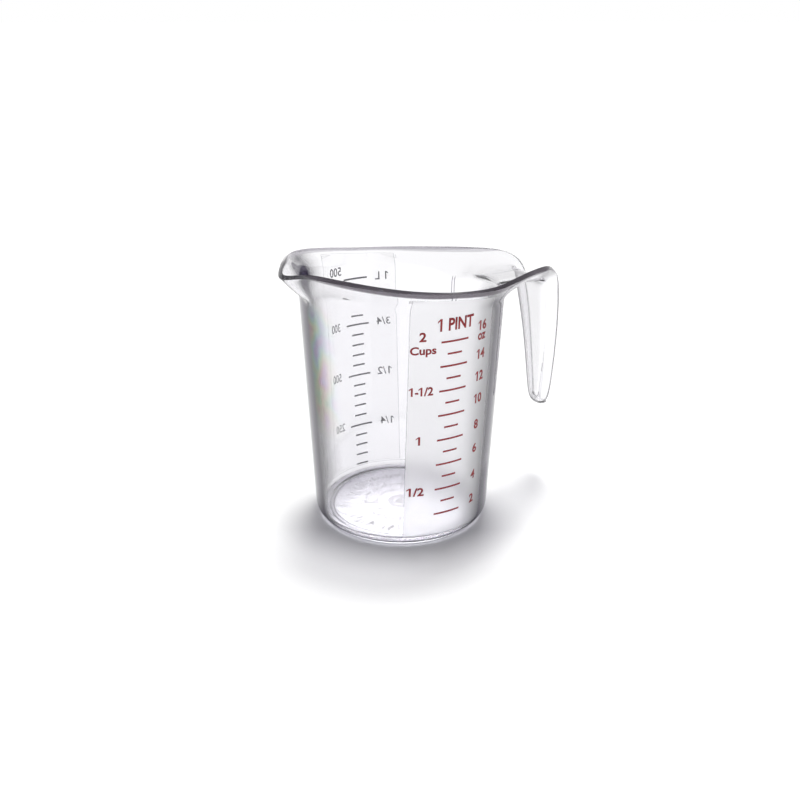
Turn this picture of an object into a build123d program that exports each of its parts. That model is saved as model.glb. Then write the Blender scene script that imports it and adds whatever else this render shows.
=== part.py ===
from build123d import *
from math import acos, atan2, cos, hypot, pi, radians, sin, tan
import os

os.makedirs("parts", exist_ok=True)

# A clear measuring cup with a pour spout and a trough handle, all one thin sheet of plastic.
# Origin on the table at the centre of the cup's foot. +Z is up, the handle points to +X,
# the spout to -X, the printed ounce scale faces -Y and the printed metric scale faces +Y.

# Tapered body
base_radius = 40.3
wall_draft_angle = 2.5
wall = 2.2
floor_thickness = 2.8
heel_radius = 4.7
inner_heel_radius = 3.0
heel_flats = 3
ring_margin = 5.9
ring_slope_width = 1.4
ring_depth = 0.6
overrun = 20.0

# Rim: its peak over the spout, and how far the rest of it lies below that peak
rim_peak_height = 121.7
spout_tip_drop = 3.4
rim_middle_drop = 6.3
rim_handle_drop = 8.0
bend_start_drop = 8.8
rim_handle_setback = 16.0
rim_flare = 0.36
flare_shift = 5.5

# Spout, outside, from its root on the wall up to the lip
spout_projection = 11.9
spout_tip_radius = 6.0
spout_root_radius = 20.0
spout_root_rise = 0.15
spout_root_drop = 17.7
spout_neck_drop = 9.7
spout_neck_run = 6.4
spout_lip_drop = 6.2
spout_lip_run = 1.4
lip_run = 8.6
spout_shift_shares = (0.0, 0.4, 0.8, 1.0)
root_sink_share = 0.25

# Handle, outside: the dish that carries the rim out, and the trough that hangs from it
root_clearance = 0.84
dish_rim_drop = 10.4
dish_depth = 7.7
dish_end_inset = 0.5
dish_floor_lift_share = 0.6
seam = 0.3
finger_room = 25.4
bend_depth = 13.0
bend_radius = 6.1
bend_setback = 10.0
handle_drop = 62.7
drop_top_half_width = 13.1
drop_end_radius = 5.9
drop_corner_cut = 1.8
web_middle_lean = 4.1
web_end_lean = 6.4
web_middle_share = 0.435
trough_top_depth = 7.6
trough_middle_depth = 6.8
trough_end_depth = 5.4
edge_lean_share = 0.13

# Printed scales. One fluid ounce fills a cube with the edge ounce_edge.
ink_thickness = 0.1
line_height = 0.8
long_line_width = 12.8
short_line_width = 6.8
line_shift = -0.6
line_margin = 12.0
ounce_edge = 30.925
first_ounce = 2
last_ounce = 16
metric_quarter_heights = (25.8, 52.3, 78.0, 100.4)
metric_first_height = -0.7
metric_steps_per_quarter = 5
metric_top_steps = 1

draft = tan(radians(wall_draft_angle))


def wall_radius(height):
    """Outside radius of the tapered wall at a height above the table."""
    return base_radius + draft * height


# Heights above the table
body_top = rim_peak_height + overrun
spout_tip_height = rim_peak_height - spout_tip_drop
rim_middle_height = rim_peak_height - rim_middle_drop
rim_handle_height = rim_peak_height - rim_handle_drop
bend_start_height = rim_peak_height - bend_start_drop
spout_root_height = rim_peak_height - spout_root_drop
spout_neck_height = rim_peak_height - spout_neck_drop
spout_lip_height = rim_peak_height - spout_lip_drop
dish_rim_height = rim_peak_height - dish_rim_drop
dish_underside_height = dish_rim_height - dish_depth
web_top_height = dish_rim_height - bend_depth
web_middle_height = web_top_height - web_middle_share * handle_drop
handle_end_height = web_top_height - handle_drop

# Distances from the cup's axis
rim_radius = wall_radius(rim_middle_height) + rim_flare
ring_radius = base_radius - ring_margin
spout_root_reach = wall_radius(spout_root_height) + spout_root_rise
spout_reach = rim_radius + spout_projection
rim_peak_reach = spout_reach - lip_run
handle_root_reach = wall_radius(dish_rim_height) + root_clearance
rim_handle_reach = handle_root_reach - rim_handle_setback
web_top_reach = wall_radius(web_top_height) + finger_room
web_middle_reach = web_top_reach + web_middle_lean
web_end_reach = web_top_reach + web_end_lean
bend_start_reach = web_top_reach - bend_setback
edge_top_reach = web_top_reach + trough_top_depth
edge_middle_reach = web_middle_reach + trough_middle_depth
edge_end_reach = web_end_reach + trough_end_depth


def heel_points(side, floor, corner):
    """The rounded heel as short flats, from the floor round to the wall."""
    lean = radians(wall_draft_angle)
    centre = side - corner * (1 - sin(lean)) / cos(lean)
    turns = [(pi / 2 - lean) * number / heel_flats for number in range(heel_flats + 1)]
    return [(centre + corner * sin(turn), floor + corner * (1 - cos(turn))) for turn in turns]


def body_volume(inset):
    """The tapered body, drawn in by the wall for the inside of the cup."""
    floor = 0.0
    corner = heel_radius
    if inset:
        floor = floor_thickness
        corner = inner_heel_radius
    outline = Polyline(
        (0, floor),
        *heel_points(wall_radius(floor) - inset, floor, corner),
        (wall_radius(body_top) - inset, body_top),
        (0, body_top),
        close=True)
    return revolve(make_face(Plane.XZ * outline), Axis.Z)


def tip_outline(height, shift, radius, reach, tip_radius):
    """A circle drawn out to a rounded tip on the -X side, as a face at one height."""
    tip_centre = reach - tip_radius
    span = tip_centre - shift
    turn = acos((radius - tip_radius) / span)
    side_x = -shift - radius * cos(turn)
    side_y = radius * sin(turn)
    end_x = -tip_centre - tip_radius * cos(turn)
    end_y = tip_radius * sin(turn)
    back = ThreePointArc((side_x, -side_y), (radius - shift, 0), (side_x, side_y))
    upper = Line((side_x, side_y), (end_x, end_y))
    tip = ThreePointArc((end_x, end_y), (-reach, 0), (end_x, -end_y))
    lower = Line((end_x, -end_y), (side_x, -side_y))
    return Pos(0, 0, height) * make_face([back, upper, tip, lower])


def spout_volume(inset):
    """The beak that the wall flares into, from its root to above the lip."""
    lift = inset / 2
    heights = (spout_root_height, spout_neck_height + lift, spout_lip_height + lift, rim_peak_height)
    radii = (
        wall_radius(spout_root_height) - root_sink_share * wall, wall_radius(spout_neck_height),
        rim_radius, rim_radius)
    reaches = (
        spout_root_reach, spout_reach - spout_neck_run, spout_reach - spout_lip_run, spout_reach)
    tips = (
        spout_root_radius + inset, spout_tip_radius + spout_tip_radius, spout_tip_radius,
        spout_tip_radius)
    outlines = [
        tip_outline(height, flare_shift * share, radius - inset, reach - inset, tip - inset)
        for height, share, radius, reach, tip in zip(
            heights, spout_shift_shares, radii, reaches, tips)
    ]
    rise = extrude(outlines[-1], amount=body_top - rim_peak_height)
    return loft(outlines, ruled=True) + rise


def dish_side_angle():
    """Angle of the dish's straight sides, which leave the rim's circle for the trough's edge."""
    across = edge_top_reach - flare_shift
    half = drop_top_half_width - dish_end_inset
    return atan2(across, half) - acos(rim_radius / hypot(across, half))


def dish_volume(inset):
    """The shallow dish that carries the rim from the wall out to the handle's bend."""
    side = dish_side_angle()
    far = edge_end_reach + wall
    radius = rim_radius - inset
    start_x = flare_shift + radius * sin(side)
    start_y = radius * cos(side)
    far_y = start_y - (far - start_x) * tan(side)
    top_z = dish_rim_height + inset / 2
    back = ThreePointArc((start_x, -start_y), (flare_shift - radius, 0), (start_x, start_y))
    upper = Line((start_x, start_y), (far, far_y))
    end = Line((far, far_y), (far, -far_y))
    lower = Line((far, -far_y), (start_x, -start_y))
    top = Pos(0, 0, top_z) * make_face([back, upper, end, lower])
    low = drop_half_width(dish_underside_height) - seam - dish_floor_lift_share * inset
    low_back = ThreePointArc((start_x, -low), (start_x - low, 0), (start_x, low))
    low_upper = Line((start_x, low), (far, low))
    low_end = Line((far, low), (far, -low))
    low_lower = Line((far, -low), (start_x, -low))
    low_z = dish_underside_height + inset
    bottom = Pos(0, 0, low_z) * make_face([low_back, low_upper, low_end, low_lower])
    rise = extrude(top, amount=body_top - top_z)
    return loft([bottom, top], ruled=True) + rise


def drop_half_width(height):
    """Outside half width of the hanging part of the handle at a height."""
    end_centre = handle_end_height + drop_end_radius
    taper = (drop_top_half_width - drop_end_radius) / (web_top_height - end_centre)
    return drop_end_radius + taper * (height - end_centre)


def drop_volume(inset):
    """The hanging part of the handle, open on its outer side, with bevelled outer corners."""
    end_centre = handle_end_height + drop_end_radius
    bottom = handle_end_height + inset
    drop_top = rim_peak_height + overrun / 2
    top_half = drop_half_width(drop_top) - inset
    end_half = drop_end_radius - inset
    far = edge_end_reach + overrun
    left = Line((-top_half, drop_top), (-end_half, end_centre))
    end = ThreePointArc((-end_half, end_centre), (0, bottom), (end_half, end_centre))
    right = Line((end_half, end_centre), (top_half, drop_top))
    top = Line((top_half, drop_top), (-top_half, drop_top))
    width = extrude(Plane.YZ * make_face([left, end, right, top]), amount=far)
    under = dish_underside_height + inset
    low = handle_end_height - overrun
    bend_end = web_top_reach - bend_radius
    web = ThreePointArc(
        (web_top_reach + inset, web_top_height), (web_middle_reach + inset, web_middle_height),
        (web_end_reach + inset, handle_end_height))
    outside = Polyline(
        (web_end_reach + inset, handle_end_height), (web_end_reach + inset, low),
        (far, low), (far, drop_top), (bend_end, drop_top), (bend_end, under))
    bend = TangentArc((bend_end, under), (web_top_reach + inset, web_top_height), tangent=(1, 0))
    depth = extrude(Plane.XZ * make_face([web, outside, bend]), amount=base_radius, both=True)
    trough = width & depth
    if inset:
        return trough
    corners = [
        edge for edge in trough.edges().filter_by(GeomType.LINE, reverse=True)
        if edge.center().X < edge_top_reach
        and (abs(edge.center().Y) > wall or edge.center().Z < handle_end_height + wall)
    ]
    return chamfer(corners, drop_corner_cut)


def side_silhouette():
    """Everything below the rim and inside the handle's free edges, seen from the side."""
    lip_foot = spout_tip_height - wall / 2
    edge_low = handle_end_height + drop_end_radius
    lip = Spline(
        (-spout_reach, lip_foot),
        (-spout_reach + wall, spout_tip_height),
        (-rim_peak_reach, rim_peak_height),
        tangents=[(1, 1), (1, 0)])
    rim = Spline(
        (-rim_peak_reach, rim_peak_height),
        (0, rim_middle_height),
        (rim_handle_reach, rim_handle_height),
        (bend_start_reach, bend_start_height),
        tangents=[(1, 0), (1, -draft)])
    bend = Spline(
        (bend_start_reach, bend_start_height),
        (web_top_reach, dish_rim_height),
        (edge_top_reach, web_top_height),
        tangents=[(1, -draft), (edge_lean_share, -1)])
    edge = ThreePointArc(
        (edge_top_reach, web_top_height),
        (edge_middle_reach, web_middle_height),
        (edge_end_reach, edge_low))
    rest = Polyline(
        (edge_end_reach, edge_low),
        (edge_end_reach, -overrun),
        (-spout_reach - overrun, -overrun),
        (-spout_reach - overrun, lip_foot),
        (-spout_reach, lip_foot))
    face = Plane.XZ * make_face([lip, rim, bend, edge, rest])
    return extrude(face, amount=2 * base_radius, both=True)


def floor_ring():
    """The disc sunk into the cup's floor, with its sloped step."""
    low = floor_thickness - ring_depth
    high = floor_thickness + seam
    slope = ring_slope_width * seam / ring_depth
    outline = Polyline(
        (0, low),
        (ring_radius - ring_slope_width, low),
        (ring_radius + slope, high),
        (0, high),
        close=True)
    return revolve(make_face(Plane.XZ * outline), Axis.Z)


def moulding():
    """The whole cup and handle: the outer form less the same form drawn in by the wall."""
    outer = body_volume(0.0) + spout_volume(0.0) + dish_volume(0.0) + drop_volume(0.0)
    inner = body_volume(wall) + spout_volume(wall) + dish_volume(wall) + drop_volume(wall)
    return (outer - inner - floor_ring()) & side_silhouette()


def calibrated_height(volume):
    """Height of the surface of a liquid volume in the tapered body."""
    floor_radius = wall_radius(floor_thickness) - wall
    surface_radius = (floor_radius ** 3 + 3 * draft * volume / pi) ** (1 / 3)
    return floor_thickness + (surface_radius - floor_radius) / draft


def printed_lines(heights, width, facing):
    """Thin printed lines on the outside of the wall, facing -Y or +Y, none near the rim."""
    kept = [height for height in heights if height < rim_middle_height - line_margin]
    middle = (kept[0] + kept[-1]) / 2
    reach = kept[-1] + line_margin
    skin_outline = Polyline(
        (wall_radius(0), 0),
        (wall_radius(0) + ink_thickness, 0),
        (wall_radius(reach) + ink_thickness, reach),
        (wall_radius(reach), reach),
        close=True)
    skin = revolve(make_face(Plane.XZ * skin_outline), Axis.Z)
    depth = wall_radius(middle)
    bars = [
        Pos(line_shift, facing * depth, height) * Box(width, depth, line_height)
        for height in kept
    ]
    return Compound([(skin & bar).solid() for bar in bars])


cup = moulding()
split = Plane.YZ.offset(handle_root_reach)
handle = cup.split(split, keep=Keep.TOP)
body = cup.split(split, keep=Keep.BOTTOM)

ounces = range(first_ounce, last_ounce + 1)
fluid_ounce = ounce_edge ** 3
even_heights = [calibrated_height(n * fluid_ounce) for n in ounces if n % 2 == 0]
odd_heights = [calibrated_height(n * fluid_ounce) for n in ounces if n % 2 == 1]

quarter_starts = (metric_first_height, *metric_quarter_heights[:-1])
minor_heights = []
for low, high in zip(quarter_starts, metric_quarter_heights):
    step = (high - low) / metric_steps_per_quarter
    last_step = metric_steps_per_quarter
    if high == metric_quarter_heights[-1]:
        last_step = metric_top_steps + 1
    for number in range(1, last_step):
        minor_heights.append(low + number * step)

export_step(body, "parts/cup_body.step")
export_step(handle, "parts/trough_handle.step")
export_step(printed_lines(even_heights, long_line_width, -1), "parts/ounce_long_lines.step")
export_step(printed_lines(odd_heights, short_line_width, -1), "parts/ounce_short_lines.step")
export_step(printed_lines(metric_quarter_heights, long_line_width, 1), "parts/metric_long_lines.step")
export_step(printed_lines(minor_heights, short_line_width, 1), "parts/metric_short_lines.step")
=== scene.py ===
from math import atan2, cos, exp, pi, radians, sin, sqrt, tan

import bmesh
import bpy
from mathutils import Matrix, Vector


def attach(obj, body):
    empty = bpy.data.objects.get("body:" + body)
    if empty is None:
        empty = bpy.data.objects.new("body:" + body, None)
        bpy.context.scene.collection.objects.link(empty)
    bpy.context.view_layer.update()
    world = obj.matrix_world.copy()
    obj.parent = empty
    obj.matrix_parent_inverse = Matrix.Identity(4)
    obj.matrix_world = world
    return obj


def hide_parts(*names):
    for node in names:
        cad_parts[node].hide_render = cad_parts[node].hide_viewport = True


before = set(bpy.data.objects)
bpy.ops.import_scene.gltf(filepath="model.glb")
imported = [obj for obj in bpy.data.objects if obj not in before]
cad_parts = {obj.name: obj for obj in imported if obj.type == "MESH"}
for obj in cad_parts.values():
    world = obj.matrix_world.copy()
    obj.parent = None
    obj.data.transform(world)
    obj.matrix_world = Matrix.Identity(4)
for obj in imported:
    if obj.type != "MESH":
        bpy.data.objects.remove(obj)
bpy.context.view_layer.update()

# Sizes of the moulding, in metres
mm = 0.001
wall = 2.2 * mm
base_radius = 40.3 * mm
draft = tan(radians(2.5))
floor_step = 0.6 * mm
heel_radius = 4.7 * mm
ring_radius = 34.4 * mm
ring_slope_width = 1.0 * mm
columns = 64
strip_half = 4

# Middle of the rounded rim edge: X along the cup and its height
rim_stations = (
    (-57.0, 117.4), (-53.8, 118.8), (-49.5, 120.55), (-40.0, 119.8), (-20.0, 116.8),
    (0.0, 114.3), (20.0, 112.9), (50.0, 112.3), (62.0, 111.5))
flare_shift = 5.5 * mm
rim_radius = 44.55 * mm
spout_tip_reach = 56.0 * mm
handle_side_angle = 28.7
spout_side_angle = 60.0
centre_disc = 8 * mm
floor_ring = 20 * mm
floor_upper_face = 0.5 * mm
floor_zone_top = 6 * mm
heel_angles = (6, 30, 60, 84)
wall_heights = (8, 12, 20, 32, 44, 56, 68, 80, 92)
handle_flare_drop = 10 * mm
spout_flare_drop = 13 * mm
least_flare_drop = 7 * mm
flare_softness = 6 * mm
bend_height = 4 * mm
flare_sag = 0.06
rim_growth = 0.4
rim_bevel = 0.46

# Row where the trough leaves the body, in millimetres: free edge and web (X, half width, height)
handle_root_row = ((56.0, 23.2, 112.1), (56.5, 12.9, 104.7))
handle_root_height = 104.2 * mm
trough_side_share = 0.55

# Rows of the handle, from the cup's rim to its free end: where the free edge runs
# (X, half width, height), and where the web runs (X, half width, height)
handle_rows = (
    ((61.6, 20.4, 111.5), (61.0, 12.9, 104.7)),
    ((67.0, 17.6, 110.5), (65.6, 12.9, 104.6)),
    ((71.6, 15.2, 108.4), (69.0, 12.7, 103.8)),
    ((74.8, 13.4, 104.4), (70.6, 12.4, 101.2)),
    ((76.5, 12.0, 98.3), (71.3, 11.6, 97.0)),
    ((78.2, 10.9, 88.5), (72.8, 10.4, 87.6)),
    ((79.3, 9.7, 77.0), (74.5, 9.0, 76.5)),
    ((80.0, 8.4, 65.0), (75.8, 7.6, 64.6)),
    ((80.4, 7.0, 53.0), (76.7, 6.2, 52.8)),
    ((80.6, 5.7, 44.5), (77.2, 5.0, 44.4)))
handle_end_corner = (
    (80.6, 5.0, 40.6), (79.0, 4.5, 39.0), (77.8, 3.6, 37.4), (77.6, 2.0, 36.6), (77.6, 0.0, 36.4))
handle_end_edge = (
    (80.6, 4.6, 39.2), (80.6, 4.1, 38.2), (80.6, 3.1, 37.4), (80.6, 1.7, 36.8), (80.6, 0.0, 36.6))


def middle_radius(height):
    """Radius of the middle of the tapered wall at a height."""
    return base_radius - wall / 2 + draft * height


def along(stations, place):
    """Height at one place along X, straight between the stations on either side of it."""
    for (x0, z0), (x1, z1) in zip(stations, stations[1:]):
        if place <= x1 or (x1, z1) == stations[-1]:
            share = min(max((place - x0) / (x1 - x0), 0.0), 1.0)
            return z0 + (z1 - z0) * share
    return stations[-1][1]


def rim_reach(turn):
    """Distance of the rim's middle line from the cup's axis, seen from above."""
    side = abs(turn)
    normal = pi / 2 - radians(handle_side_angle)
    if side < normal:
        return (rim_radius + flare_shift * cos(normal)) / cos(normal - side)
    beak = radians(90 + spout_side_angle)
    if side > beak:
        return min(spout_tip_reach, (rim_radius - flare_shift * cos(beak)) / cos(side - beak))
    return flare_shift * abs(cos(side)) + sqrt(rim_radius ** 2 - (flare_shift * sin(side)) ** 2)


def rim_place(turn):
    """Middle of the rim's edge at one turn about the axis."""
    reach = rim_reach(turn)
    x = reach * cos(turn)
    return Vector((x, reach * sin(turn), along(rim_stations, x / mm) * mm))


def ring_of(radius, height):
    """One level ring of the body."""
    fit = 3 / (2 + cos(2 * pi / columns))
    turns = [2 * pi * k / columns for k in range(columns)]
    return [Vector((radius * fit * cos(turn), radius * fit * sin(turn), height)) for turn in turns]


def new_object_in_edit(name):
    """Names the object just added and goes into edit mode on it."""
    piece = bpy.context.object
    piece.name = name
    piece.data.name = name
    bpy.ops.object.mode_set(mode="EDIT")
    return piece


def selected_by(piece, order):
    """The selected vertices of the mesh being edited, in the given order."""
    mesh = bmesh.from_edit_mesh(piece.data)
    picked = [vertex for vertex in mesh.verts if vertex.select]
    return mesh, sorted(picked, key=order)


def turn_of(vertex):
    """Turn of a vertex about the axis, from 0 to a full turn."""
    turn = atan2(vertex.co.y, vertex.co.x)
    if turn < -0.001:
        turn += 2 * pi
    return turn


def extrude_to(piece, places, order):
    """Extrudes the selected edge line and puts each new vertex in its place."""
    bpy.ops.mesh.extrude_edges_move(TRANSFORM_OT_translate={"value": (0, 0, 0.0001)})
    mesh, picked = selected_by(piece, order)
    for vertex, place in zip(picked, places):
        vertex.co = place
    bmesh.update_edit_mesh(piece.data)


def flare_rings():
    """The four rings that carry the wall out into the rim, the spout and the handle's root."""
    bend, low, high, edge = [], [], [], []
    for k in range(columns):
        signed = k if k <= columns // 2 else k - columns
        turn = 2 * pi * signed / columns
        end = rim_place(turn)
        flare = rim_reach(turn) - middle_radius(end.z)
        full_drop = handle_flare_drop
        if abs(turn) > pi / 2:
            full_drop = spout_flare_drop
        drop = max(full_drop * (1 - exp(-flare / flare_softness)), least_flare_drop)
        corner_height = end.z - drop
        if abs(signed) < strip_half:
            row = strip_row(*handle_root_row)
            end = row[strip_half - signed]
            corner_height = handle_root_height
        radius = middle_radius(corner_height)
        corner = Vector((radius * cos(turn), radius * sin(turn), corner_height))
        sag = Vector((0, 0, -flare_sag * (end - corner).length))
        if abs(signed) < strip_half:
            sag = Vector((0, 0, 0))
        before = corner_height - bend_height
        radius = middle_radius(before)
        bend.append(Vector((radius * cos(turn), radius * sin(turn), before)))
        low.append(corner)
        high.append(corner.lerp(end, 0.5) + sag)
        edge.append(end)
    return bend, low, high, edge


def strip_row(edge, web):
    """Nine places across the handle's trough, from +Y to -Y."""
    rim = Vector(edge) * mm
    corner = Vector(web) * mm
    middle = rim.lerp(corner, trough_side_share)
    half = [rim, middle, corner, corner.copy()]
    half[3].y = corner.y / 2
    centre = Vector((corner.x, 0, corner.z))
    other = [Vector((place.x, -place.y, place.z)) for place in half]
    return half + [centre] + other[::-1]


def mirrored_row(half):
    """A full row from its places on the +Y side and its centre."""
    near = [Vector(place) * mm for place in half]
    far = [Vector((place.x, -place.y, place.z)) for place in near[:-1]]
    return near + far[::-1]


def raise_floor_step(piece):
    """Lifts the floor's upper face by the step outside the ring."""
    for vertex in piece.data.vertices:
        reach = vertex.co.xy.length
        if floor_upper_face < vertex.co.z < floor_zone_top and reach < base_radius - wall:
            share = (reach - ring_radius + ring_slope_width) / ring_slope_width
            vertex.co.z += floor_step * min(max(share, 0), 1)


def make_moulding():
    """The one clear sheet: floor, wall, rim, spout and handle."""
    bpy.ops.object.select_all(action="DESELECT")
    bpy.ops.mesh.primitive_circle_add(
        vertices=columns, radius=centre_disc, fill_type="TRIFAN", location=(0, 0, wall / 2))
    piece = new_object_in_edit("clear_moulding")
    bpy.ops.object.mode_set(mode="OBJECT")
    bpy.ops.object.transform_apply(location=True)
    bpy.ops.object.mode_set(mode="EDIT")
    bpy.ops.mesh.select_mode(type="VERT")
    bpy.ops.mesh.select_all(action="DESELECT")
    mesh = bmesh.from_edit_mesh(piece.data)
    for vertex in mesh.verts:
        vertex.select = vertex.co.xy.length > centre_disc / 2
    mesh.select_flush(True)
    bmesh.update_edit_mesh(piece.data)
    heel = heel_radius - wall / 2
    heel_centre = middle_radius(heel_radius) - heel
    level = wall / 2
    rings = [(floor_ring, level), (ring_radius - 3 * ring_slope_width, level),
             (ring_radius - ring_slope_width, level), (ring_radius, level)]
    for angle in heel_angles:
        turn = radians(angle)
        rings.append((heel_centre + heel * sin(turn), heel_radius - heel * cos(turn)))
    for height in wall_heights:
        rings.append((middle_radius(height * mm), height * mm))
    for radius, height in rings:
        extrude_to(piece, ring_of(radius, height), turn_of)
    for places in flare_rings():
        extrude_to(piece, places, turn_of)
    mesh = bmesh.from_edit_mesh(piece.data)
    for vertex in mesh.verts:
        if vertex.select:
            turn = abs(atan2(vertex.co.y, vertex.co.x))
            vertex.select = turn < 2 * pi * (strip_half + 0.3) / columns
    mesh.select_flush_mode()
    bmesh.update_edit_mesh(piece.data)
    for edge, web in handle_rows:
        extrude_to(piece, strip_row(edge, web), lambda vertex: -vertex.co.y)
    extrude_to(piece, mirrored_row(handle_end_corner), lambda vertex: -vertex.co.y)
    extrude_to(piece, mirrored_row(handle_end_edge), lambda vertex: -vertex.co.y)
    mesh = bmesh.from_edit_mesh(piece.data)
    grow = {}
    for vertex in mesh.verts:
        if not vertex.is_boundary:
            continue
        inner = [edge.other_vert(vertex) for edge in vertex.link_edges if not edge.is_boundary]
        if inner:
            grow[vertex] = (vertex.co - inner[0].co).normalized() * wall * rim_growth
    for vertex, step in grow.items():
        vertex.co += step
    bmesh.update_edit_mesh(piece.data)
    bpy.ops.mesh.select_all(action="SELECT")
    bpy.ops.mesh.normals_make_consistent(inside=False)
    bpy.ops.object.mode_set(mode="OBJECT")
    smooth = piece.modifiers.new("smooth_sheet", "SUBSURF")
    smooth.levels = smooth.render_levels = 2
    bpy.ops.object.modifier_apply(modifier=smooth.name)
    thick = piece.modifiers.new("wall", "SOLIDIFY")
    thick.thickness = wall
    thick.offset = 0
    thick.use_even_offset = True
    bpy.ops.object.modifier_apply(modifier=thick.name)
    raise_floor_step(piece)
    rounded = piece.modifiers.new("round_rim", "BEVEL")
    rounded.width = wall * rim_bevel
    rounded.segments = 4
    rounded.limit_method = "ANGLE"
    rounded.angle_limit = radians(60)
    bpy.ops.object.modifier_apply(modifier=rounded.name)
    bpy.ops.object.shade_smooth()
    return piece


class Tree:
    """Short calls for building the nodes of a material or of the world."""

    def __init__(self, owner):
        owner.use_nodes = True
        self.owner = owner
        self.nodes = owner.node_tree.nodes
        self.links = owner.node_tree.links
        self.shader = self.nodes.get("Principled BSDF")

    def add(self, kind, **inputs):
        """A new node with its inputs set to sockets or plain values."""
        node = self.nodes.new(kind)
        for name, value in inputs.items():
            self.feed(node.inputs[name.replace("_", " ")], value)
        return node

    def feed(self, socket, value):
        """Links a socket into an input, or writes a plain value there."""
        if isinstance(value, bpy.types.NodeSocket):
            self.links.new(value, socket)
        else:
            socket.default_value = value

    def math(self, operation, *values):
        """One Math node and its result."""
        node = self.nodes.new("ShaderNodeMath")
        node.operation = operation
        for socket, value in zip(node.inputs, values):
            self.feed(socket, value)
        return node.outputs[0]

    def ramp(self, value, low, high, start=0.0, end=1.0):
        """A value carried from one range to another, and held at its ends."""
        node = self.add("ShaderNodeMapRange", Value=value)
        for name, number in (("From Min", low), ("From Max", high), ("To Min", start), ("To Max", end)):
            node.inputs[name].default_value = number
        return node.outputs["Result"]

    def mix(self, share, first, second):
        """Two colours mixed by a share."""
        node = self.nodes.new("ShaderNodeMix")
        node.data_type = "RGBA"
        self.feed(node.inputs[0], share)
        self.feed(node.inputs[6], first)
        self.feed(node.inputs[7], second)
        return node.outputs[2]

    def blend(self, share, first, second):
        """Two values mixed by a share."""
        node = self.nodes.new("ShaderNodeMix")
        for socket, value in zip((node.inputs[0], *node.inputs[2:4]), (share, first, second)):
            self.feed(socket, value)
        return node.outputs[0]


# Places in the clear plastic where its look changes
rim_fall = 0.0975
panel_half_width = 19.6 * mm
panel_bottom = 4.5 * mm
panel_top = 112.4 * mm
scale_sides = (10 * mm, -10 * mm)
lip_start = 113.0 * mm
inner_lip_start = 113.7 * mm
streak_turn = radians(25.8)
streak_foot = (84 * mm, 92 * mm)
streak_top = (102 * mm, 101 * mm)
strain_foot = (46 * mm, 62 * mm)
strain_top = (108 * mm, 100 * mm)
flare_zone = (base_radius + 1 * mm, base_radius + 4 * mm)
handle_zone_start = 46 * mm
strain_saturation = 0.6
strain_brightness = 0.72
strain_turns = (radians(134), radians(146))
floor_line_radii = (ring_radius - 0.3 * mm, ring_radius - 2.1 * mm)

# Finish of the clear plastic; the metric side's share of roughness and haze is smaller
noise_span = (0.3, 0.7)
grain_scale = 1800.0
swell_scale = 22.0
ripple_scale = 70.0
gloss_roughness = 0.01
satin_roughness = (0.28, 0.32)
satin_loss = (-0.32, -0.27)
metric_roughness = 0.28
metric_haze = 0.2
grain_depth = 0.04
panel_depth = 0.6
swell_depth = 0.8
relief_height = 0.1 * mm
grain_darkness = 0.05
# Painted shade on faces seen edge on: where it starts, how fast it grows, and how much clearness it takes
painted_edge_facing = (0.34, 0.66)
painted_edge_falloff = 1.5
painted_edge_loss = 0.7
# Painted shade on the rim edge: how strong it is outside and inside, and how much clearness it takes
painted_rim_shade_share = 0.85
painted_rim_shade_loss = 0.3
painted_inner_rim_shade_share = 0.7
refractive_index = 1.585

# Colours of the clear plastic
lamp_tint = (0.71, 0.71, 0.72, 1)
body_tint = (0.38, 0.34, 0.43, 1)
body_density = 46.0
plastic_tint = (0.975, 0.975, 0.985, 1)
# Painted shade for the dark outlines of faces seen edge on
painted_edge_shade = (0.02, 0.015, 0.035, 1)
# Painted shade on the rim edge: purple outside, grey inside
painted_rim_purple_shade = (0.055, 0.03, 0.065, 1)
painted_inner_rim_grey_shade = (0.30, 0.28, 0.33, 1)
streak_grey = (0.10, 0.09, 0.12, 1)
floor_line_grey = (0.12, 0.12, 0.15, 1)
grain_grey = (0.42, 0.42, 0.47, 1)
panel_line_grey = (0.15, 0.15, 0.19, 1)


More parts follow.
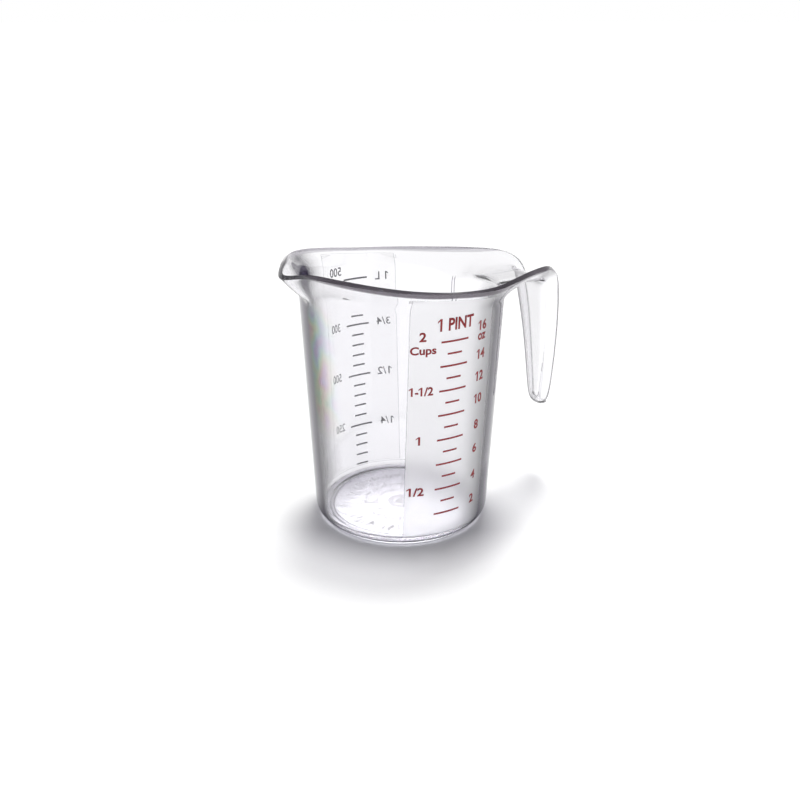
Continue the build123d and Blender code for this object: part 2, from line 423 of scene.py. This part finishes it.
def make_clear_plastic():
    """Clear plastic with a lavender-grey cast, satin behind the printed scales."""
    tree = Tree(bpy.data.materials.new("clear_plastic"))
    place = tree.add("ShaderNodeTexCoord").outputs["Object"]
    split = tree.add("ShaderNodeSeparateXYZ", Vector=place)
    x, y, z = split.outputs
    flat = tree.add("ShaderNodeCombineXYZ", X=x, Y=y).outputs[0]
    length = tree.nodes.new("ShaderNodeVectorMath")
    length.operation = "LENGTH"
    tree.links.new(flat, length.inputs[0])
    reach = tree.math("SUBTRACT", length.outputs["Value"], tree.math("MULTIPLY", z, draft))
    outside = tree.math("GREATER_THAN", reach, base_radius - wall / 2)
    levelled = tree.math("MULTIPLY_ADD", x, rim_fall, z)
    below = tree.math("LESS_THAN", levelled, panel_top)
    above = tree.math("GREATER_THAN", z, panel_bottom)
    side = tree.math("ABSOLUTE", x)
    panel = tree.ramp(side, panel_half_width + 0.1 * mm, panel_half_width - 0.2 * mm)
    where = tree.math("MULTIPLY", outside, tree.math("MULTIPLY", below, above))
    satin = tree.math("MULTIPLY", panel, where)

    # Satin grain on the outside of the two panels, over a slow swell in the sheet
    grain = tree.add("ShaderNodeTexNoise", Vector=place, Scale=grain_scale, Detail=2.0, Roughness=0.6)
    rough = tree.math("MULTIPLY", tree.ramp(grain.outputs[0], *noise_span, *satin_roughness),
                      tree.ramp(y, *scale_sides, metric_roughness, 1.0))
    tree.feed(tree.shader.inputs["Roughness"], tree.math("MULTIPLY_ADD", satin, rough, gloss_roughness))
    relief = tree.math("MULTIPLY_ADD", grain.outputs[0], grain_depth, panel_depth)
    relief = tree.math("MULTIPLY", satin, relief)
    swell = tree.add("ShaderNodeTexNoise", Vector=place, Scale=swell_scale, Detail=1.0)
    height = tree.math("MULTIPLY_ADD", swell.outputs[0], swell_depth, relief)
    bump = tree.add("ShaderNodeBump", Strength=1.0, Distance=relief_height, Height=height)
    tree.feed(tree.shader.inputs["Normal"], bump.outputs[0])

    # Painted shade: dark outlines where upright faces are seen edge on, weaker on the flare
    facing = tree.add("ShaderNodeLayerWeight", Blend=0.5).outputs["Facing"]
    normal = tree.add("ShaderNodeNewGeometry").outputs["Normal"]
    upward = tree.add("ShaderNodeSeparateXYZ", Vector=normal).outputs["Z"]
    steep = tree.ramp(tree.math("ABSOLUTE", upward), 0.85, 0.5)
    edge = tree.math("MULTIPLY", tree.math("POWER", tree.ramp(facing, *painted_edge_facing), painted_edge_falloff), steep)
    flared = tree.math("MULTIPLY", tree.ramp(reach, *flare_zone),
                       tree.math("LESS_THAN", x, handle_zone_start))
    edge = tree.math("MULTIPLY", edge, tree.math("MULTIPLY_ADD", flared, -0.75, 1.0))

    # Faint strain colours below the spout
    turn = tree.math("ARCTAN2", y, x)
    ripple = tree.add("ShaderNodeTexNoise", Vector=place, Scale=ripple_scale, Detail=2.0)
    strained = tree.ramp(tree.math("ABSOLUTE", turn), *strain_turns)
    strain_band = tree.math("MULTIPLY", tree.ramp(z, *strain_foot), tree.ramp(z, *strain_top))
    strained = tree.math("MULTIPLY", strained, strain_band)
    hue = tree.math("FRACT", tree.math("MULTIPLY", ripple.outputs[0], 2.6))
    rainbow = tree.nodes.new("ShaderNodeCombineColor")
    rainbow.mode = "HSV"
    tree.feed(rainbow.inputs[0], hue)
    rainbow.inputs[1].default_value = strain_saturation
    rainbow.inputs[2].default_value = strain_brightness
    strained = tree.math("MULTIPLY", strained, tree.ramp(facing, 0.3, 0.6))
    colour = tree.mix(strained, plastic_tint, rainbow.outputs[0])
    colour = tree.mix(edge, colour, painted_edge_shade)

    # Painted shade on the rim edge: purple on faces that look outward, grey on those that look inward
    level = tree.math("SUBTRACT", levelled, tree.math("MULTIPLY", x, x))
    outward = tree.nodes.new("ShaderNodeVectorMath")
    outward.operation = "DOT_PRODUCT"
    tree.links.new(normal, outward.inputs[0])
    tree.links.new(flat, outward.inputs[1])
    painted_rim_shade = tree.math("MULTIPLY", tree.ramp(level, lip_start, lip_start + 0.4 * mm),
                    tree.math("GREATER_THAN", outward.outputs["Value"], 0.0))
    colour = tree.mix(tree.math("MULTIPLY", painted_rim_shade, painted_rim_shade_share), colour, painted_rim_purple_shade)
    painted_inner_rim_shade = tree.math("MULTIPLY", tree.ramp(level, inner_lip_start, inner_lip_start + 0.3 * mm),
                          tree.math("LESS_THAN", outward.outputs["Value"], 0.0))
    colour = tree.mix(tree.math("MULTIPLY", painted_inner_rim_shade, painted_inner_rim_shade_share), colour, painted_inner_rim_grey_shade)

    # Double upright streak on the back wall, ring lines on the floor, and the panels' edges
    off_streak = tree.math("ABSOLUTE", tree.math("SUBTRACT", turn, streak_turn))
    streak = tree.math("COMPARE", off_streak, radians(0.9), radians(0.3))
    streak = tree.math("MULTIPLY", streak, tree.math("MULTIPLY", outside, tree.ramp(z, *streak_foot)))
    streak = tree.math("MULTIPLY", streak, tree.ramp(z, *streak_top))
    colour = tree.mix(streak, colour, streak_grey)
    low = tree.math("LESS_THAN", z, 4.2 * mm)
    for radius in floor_line_radii:
        step = tree.math("MULTIPLY", low, tree.math("COMPARE", length.outputs["Value"], radius, 0.3 * mm))
        colour = tree.mix(tree.math("MULTIPLY", step, 0.8), colour, floor_line_grey)
    mottle = tree.math("MULTIPLY", satin, tree.ramp(grain.outputs[0], *noise_span, grain_darkness, 0.0))
    colour = tree.mix(mottle, colour, grain_grey)
    line = tree.math("COMPARE", side, panel_half_width, 0.16 * mm)
    line = tree.math("MULTIPLY", tree.math("MULTIPLY", line, where), 0.6)
    colour = tree.mix(line, colour, panel_line_grey)
    tree.feed(tree.shader.inputs["Base Color"], colour)

    # How clear it is, and a plain see-through shader for lamp rays, so that its shadow is pale
    haze = tree.math("MULTIPLY", tree.ramp(y, *scale_sides, metric_haze, 1.0), satin)
    pale = tree.math("MULTIPLY_ADD", haze, tree.ramp(grain.outputs[0], *noise_span, *satin_loss), 1.0)
    # The painted edge shade also makes the plastic less clear there
    clear = tree.math("SUBTRACT", pale, tree.math("MULTIPLY", edge, painted_edge_loss))
    # The painted rim shade also makes the plastic less clear at the rim
    clear = tree.math("MULTIPLY_ADD", painted_rim_shade, -painted_rim_shade_loss, clear)
    tree.feed(tree.shader.inputs["Transmission Weight"], clear)
    tree.shader.inputs["IOR"].default_value = refractive_index
    output = tree.nodes["Material Output"]
    lamp = tree.add("ShaderNodeLightPath").outputs["Is Shadow Ray"]
    through = tree.add("ShaderNodeBsdfTransparent", Color=lamp_tint)
    mixed = tree.add("ShaderNodeMixShader", Fac=lamp)
    tree.links.new(tree.shader.outputs[0], mixed.inputs[1])
    tree.links.new(through.outputs[0], mixed.inputs[2])
    tree.links.new(mixed.outputs[0], output.inputs["Surface"])
    tint = tree.add("ShaderNodeVolumeAbsorption", Color=body_tint, Density=body_density)
    tree.links.new(tint.outputs[0], output.inputs["Volume"])
    return tree.owner


def make_ink(name, colour):
    """Screen-printed ink, a little uneven and slightly glossy."""
    tree = Tree(bpy.data.materials.new(name))
    place = tree.add("ShaderNodeTexCoord").outputs["Object"]
    speckle = tree.add("ShaderNodeTexNoise", Vector=place, Scale=2200.0, Detail=2.0)
    thin = tree.ramp(speckle.outputs[0], 0.35, 0.7)
    pale = [min(1.0, channel * 1.3 + 0.004) for channel in colour]
    tree.feed(tree.shader.inputs["Base Color"], tree.mix(thin, (*colour, 1), (*pale, 1)))
    tree.feed(tree.shader.inputs["Roughness"], tree.ramp(speckle.outputs[0], 0.3, 0.7, 0.35, 0.55))
    bump = tree.add("ShaderNodeBump", Strength=0.3, Distance=0.05 * mm, Height=speckle.outputs[0])
    tree.feed(tree.shader.inputs["Normal"], bump.outputs[0])
    return tree.owner


# Printed labels: words, middle round the wall, middle height, height and width in millimetres
ounce_labels = (
    ("1 PINT", -0.4, 103.0, 5.3, 17.0), ("2", -14.9, 98.6, 4.0, 2.9), ("Cups", -14.5, 92.3, 4.6, 10.9),
    ("1-1/2", -14.8, 74.8, 3.9, 10.2), ("1", -15.4, 52.2, 3.9, 1.9), ("1/2", -15.8, 27.6, 4.1, 7.6),
    ("16", 13.9, 99.6, 4.4, 5.2), ("oz", 13.9, 94.6, 3.0, 4.9), ("14", 13.9, 86.9, 4.4, 5.2),
    ("12", 13.9, 76.9, 4.4, 5.2), ("10", 13.9, 66.5, 4.4, 5.2), ("8", 13.9, 54.2, 4.4, 2.7),
    ("6", 13.9, 42.7, 4.4, 2.7), ("4", 13.9, 29.6, 4.4, 2.7), ("2", 13.9, 17.4, 4.4, 2.7))
metric_labels = (
    ("1 L", -13.4, 100.7, 3.9, 6.6), ("3/4", -13.6, 78.6, 3.9, 7.2), ("1/2", -13.5, 52.9, 3.9, 7.4),
    ("1/4", -14.2, 26.3, 3.9, 7.2), ("500", 11.9, 105.0, 4.1, 7.2), ("300", 14.2, 78.4, 4.1, 6.0),
    ("500", 15.0, 53.4, 4.1, 6.2), ("250", 14.4, 27.2, 4.1, 6.6))
print_lift = 0.03 * mm
print_thickness = 0.06 * mm
print_strip = 1.25 * mm

# Flag of the figure one, as shares of its height
flag_thickness = 0.16
flag_reach = 0.24
flag_drop = (0.20, 0.33)


def flag_ones(label, count):
    """Makes each figure one anew, as an upright bar with a slanted flag."""
    mesh = bmesh.new()
    mesh.from_mesh(label.data)
    heights = [vertex.co.y for vertex in mesh.verts]
    tall = max(heights) - min(heights)
    uprights = set()
    for edge in mesh.edges:
        low, high = sorted((vertex.co for vertex in edge.verts), key=lambda place: place.y)
        if abs(low.x - high.x) < 0.001 * tall and high.y - low.y > 0.6 * tall:
            uprights.add((round(low.x, 4), round(low.y, 4), round(high.y, 4)))
    uprights = sorted(uprights)[:2 * count]
    for (left, foot, top), (right, _, _) in zip(uprights[::2], uprights[1::2]):
        old = [vertex for vertex in mesh.verts if left - 0.001 < vertex.co.x < right + 0.001]
        bmesh.ops.delete(mesh, geom=old, context="VERTS")
        under = top - flag_thickness * tall
        tip = left - flag_reach * tall
        corners = ((left, foot), (right, foot), (right, under), (left, under),
                   (right, top), (left, top),
                   (tip, top - flag_drop[0] * tall), (tip, top - flag_drop[1] * tall))
        spots = [mesh.verts.new((x, y, 0)) for x, y in corners]
        mesh.faces.new(spots[:4])
        mesh.faces.new([spots[3], spots[2]] + spots[4:])
    mesh.to_mesh(label.data)
    mesh.free()


def flat_label(bold, words, middle, height, tall, wide):
    """One word of print, flat, with its middle at its place round the wall and its height."""
    bpy.ops.object.select_all(action="DESELECT")
    bpy.ops.object.text_add()
    label = bpy.context.object
    label.data.body = words
    label.data.offset = bold
    label.data.resolution_u = 4
    bpy.ops.object.convert(target="MESH")
    flag_ones(label, words.count("1"))
    places = [vertex.co.copy() for vertex in label.data.vertices]
    low = Vector([min(place[axis] for place in places) for axis in range(3)])
    high = Vector([max(place[axis] for place in places) for axis in range(3)])
    for vertex in label.data.vertices:
        share = (vertex.co - (low + high) / 2)
        across = share.x / (high.x - low.x) * wide + middle
        up = share.y / (high.y - low.y) * tall + height
        vertex.co = Vector((across, up, 0)) * mm
    return label


def make_print(name, labels, facing, bold, ink):
    """A column of printed words, cut into strips and wrapped round the tapered wall."""
    words = [flat_label(bold, *label) for label in labels]
    bpy.ops.object.select_all(action="DESELECT")
    for word in words:
        word.select_set(True)
    bpy.context.view_layer.objects.active = words[0]
    bpy.ops.object.join()
    sheet = new_object_in_edit(name)
    bpy.ops.mesh.select_all(action="SELECT")
    bpy.ops.mesh.dissolve_limited(angle_limit=radians(0.5))
    reach = 20 * mm
    strips = int(2 * reach / print_strip)
    for strip in range(strips + 1):
        bpy.ops.mesh.select_all(action="SELECT")
        bpy.ops.mesh.bisect(plane_co=(strip * print_strip - reach, 0, 0), plane_no=(1, 0, 0))
    bpy.ops.mesh.select_all(action="SELECT")
    bpy.ops.mesh.remove_doubles(threshold=0.0005 * mm)
    bpy.ops.object.mode_set(mode="OBJECT")
    for vertex in sheet.data.vertices:
        across, up = vertex.co.xy
        radius = base_radius + draft * up + print_lift
        turn = across / radius
        vertex.co = Vector((radius * sin(turn) * facing, -radius * cos(turn) * facing, up))
    thick = sheet.modifiers.new("ink_thickness", "SOLIDIFY")
    thick.thickness = print_thickness
    thick.offset = 1
    bpy.ops.object.modifier_apply(modifier=thick.name)
    sheet.data.materials.clear()
    sheet.data.materials.append(ink)
    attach(sheet, "root")


def make_camera():
    """Camera at the photograph's viewing angle."""
    place = Vector((-0.1947, -0.3365, 0.2160))
    forward = Vector((0.4607, 0.7993, -0.3859))
    data = bpy.data.cameras.new("camera")
    data.lens = 41.3
    data.sensor_width = 36
    camera = bpy.data.objects.new("camera", data)
    bpy.context.scene.collection.objects.link(camera)
    turn = forward.to_track_quat("-Z", "Y").to_matrix().to_4x4()
    camera.matrix_world = Matrix.Translation(place) @ turn @ Matrix.Rotation(radians(0.136), 4, "Z")
    bpy.context.scene.camera = camera


# Light of the world and the lamp, and where along its height the world grows darker
horizon_height = 0.10
overhead_height = 0.45
overhead_light = 0.10
bounced_light = 0.15
open_light = 0.42
sun_strength = 2.5
sun_width = 14
sun_direction = (-0.17, -0.25, -1.0)

# Grey shade painted on the floor in front of the foot
shade_grey = (0.28, 0.28, 0.30, 1)
shade_start = 37.2 * mm
shade_reach = (38 * mm, 66 * mm)
shade_front = (-15 * mm, 25 * mm)
toward_camera = (-0.5, -0.866)


def make_floor():
    """Wide white floor, shaded in front of the cup's foot."""
    bpy.ops.object.select_all(action="DESELECT")
    bpy.ops.mesh.primitive_plane_add(size=60, location=(0, 0, 0))
    floor = bpy.context.object
    floor.name = "studio_floor"
    tree = Tree(bpy.data.materials.new("studio_floor"))
    place = tree.add("ShaderNodeTexCoord").outputs["Object"]
    x, y, _ = tree.add("ShaderNodeSeparateXYZ", Vector=place).outputs
    reach = tree.math("SQRT", tree.math("MULTIPLY_ADD", x, x, tree.math("MULTIPLY", y, y)))
    ahead = tree.math("MULTIPLY_ADD", x, toward_camera[0], tree.math("MULTIPLY", y, toward_camera[1]))
    near = tree.math("POWER", tree.ramp(reach, *shade_reach, 1.0, 0.0), 1.5)
    near = tree.math("MULTIPLY", tree.math("GREATER_THAN", reach, shade_start), near)
    shade = tree.math("MULTIPLY", near, tree.ramp(ahead, *shade_front))
    tree.feed(tree.shader.inputs["Base Color"], tree.mix(shade, (1, 1, 1, 1), shade_grey))
    tree.shader.inputs["Roughness"].default_value = 0.9
    tree.shader.inputs["Specular IOR Level"].default_value = 0
    floor.data.materials.append(tree.owner)


def make_world():
    """White to the camera, and for other rays darker overhead and dimmer after a bounce."""
    world = bpy.data.worlds.new("studio")
    bpy.context.scene.world = world
    tree = Tree(world)
    ray = tree.add("ShaderNodeLightPath").outputs
    mirrored = tree.math("MAXIMUM", ray["Is Camera Ray"], ray["Is Transmission Ray"])
    mirrored = tree.math("MAXIMUM", mirrored, ray["Is Glossy Ray"])
    direct = tree.math("LESS_THAN", ray["Diffuse Depth"], 0.5)
    place = tree.add("ShaderNodeTexCoord").outputs["Generated"]
    height = tree.add("ShaderNodeSeparateXYZ", Vector=place).outputs["Z"]
    ceiling = tree.ramp(height, horizon_height, overhead_height, 1.0, overhead_light)
    light = tree.blend(direct, bounced_light, ceiling)
    light = tree.blend(mirrored, open_light, light)
    light = tree.blend(ray["Is Camera Ray"], light, 1.0)
    background = tree.nodes["Background"]
    background.inputs["Color"].default_value = (1, 1, 1, 1)
    tree.feed(background.inputs["Strength"], light)


def make_sun():
    """One soft lamp high behind the cup, which casts the shadow towards the camera."""
    sun = bpy.data.lights.new("high_sun", "SUN")
    sun.energy = sun_strength
    sun.angle = radians(sun_width)
    sun.cycles.use_multiple_importance_sampling = False
    lamp = bpy.data.objects.new("high_sun", sun)
    lamp.rotation_euler = Vector(sun_direction).to_track_quat("-Z", "Y").to_euler()
    bpy.context.scene.collection.objects.link(lamp)


moulding = make_moulding()
clear_plastic = make_clear_plastic()
moulding.data.materials.append(clear_plastic)
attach(moulding, "root")
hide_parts("cup_body", "trough_handle")

red_ink = make_ink("red_ink", (0.26, 0.008, 0.010))
blue_ink = make_ink("blue_ink", (0.004, 0.006, 0.03))
for name, ink in (
        ("ounce_long_lines", red_ink), ("ounce_short_lines", red_ink),
        ("metric_long_lines", blue_ink), ("metric_short_lines", blue_ink)):
    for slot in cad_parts[name].material_slots:
        slot.material = ink
make_print("ounce_numbers", ounce_labels, 1, 0.028, red_ink)
make_print("metric_numbers", metric_labels, -1, 0.008, blue_ink)

make_camera()
make_floor()
make_world()
make_sun()
bpy.context.scene.view_settings.view_transform = "Standard"
